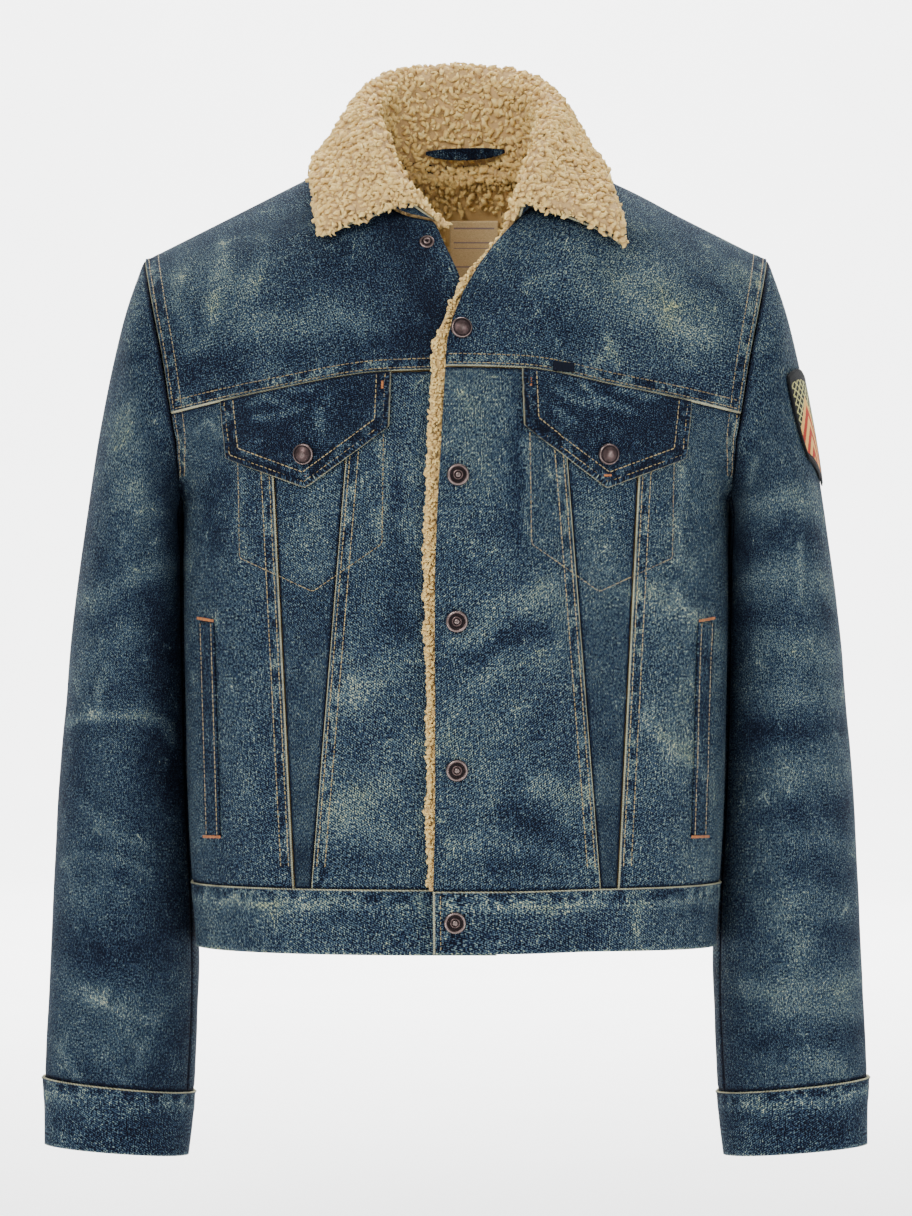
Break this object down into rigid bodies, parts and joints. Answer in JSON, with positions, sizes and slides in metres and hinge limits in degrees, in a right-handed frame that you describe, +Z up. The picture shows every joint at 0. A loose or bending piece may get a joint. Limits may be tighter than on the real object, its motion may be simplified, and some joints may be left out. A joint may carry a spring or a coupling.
{
  "type": "jacket",
  "caption": "Hollow worn denim jacket with a sherpa collar and lining, snap front, flapped chest pockets, welt pockets, long cuffed sleeves and a waistband.",
  "frame": {"origin": "middle of the neck opening, level with the two points where the shoulder seams meet the collar", "axes": "+Z up, -Y the front, +X the wearer's left"},
  "size_m": [0.6344, 0.2584, 0.8418],
  "materials": {
    "denim": "faded indigo twill",
    "sherpa": "curly cream pile",
    "snap_metal": "antique plated",
    "label_cloth": "plain woven",
    "patch_cloth": "woven stripes and lattice",
    "tab_cloth": "plain woven"
  },
  "bodies": {
    "root": {"back_center": "denim", "back_side_left": "denim", "back_side_right": "denim", "back_yoke": "denim", "collar_under": "denim", "collar_upper": "sherpa", "cuff_left": "denim", "cuff_right": "denim", "front_center_left": "denim", "front_center_right": "denim", "front_side_left": "denim", "front_side_right": "denim", "front_wedge_left": "denim", "front_wedge_right": "denim", "front_yoke_left": "denim", "front_yoke_right": "denim", "hanger_loop": "denim", "lining_back": "sherpa", "lining_front_left": "sherpa", "lining_front_right": "sherpa", "neck_label": "label_cloth", "pocket_flap_left": "denim", "pocket_flap_right": "denim", "pocket_welt_left": "denim", "pocket_welt_right": "denim", "seam_tab": "tab_cloth", "sleeve_patch": "patch_cloth", "sleeve_top_left": "denim", "sleeve_top_right": "denim", "sleeve_under_left": "denim", "sleeve_under_right": "denim", "snap_flap_left": "snap_metal", "snap_flap_right": "snap_metal", "snap_front_1": "snap_metal", "snap_front_2": "snap_metal", "snap_front_3": "snap_metal", "snap_front_4": "snap_metal", "snap_stud": "snap_metal", "snap_waist": "snap_metal", "waistband": "denim"}
  },
  "joints": []
}
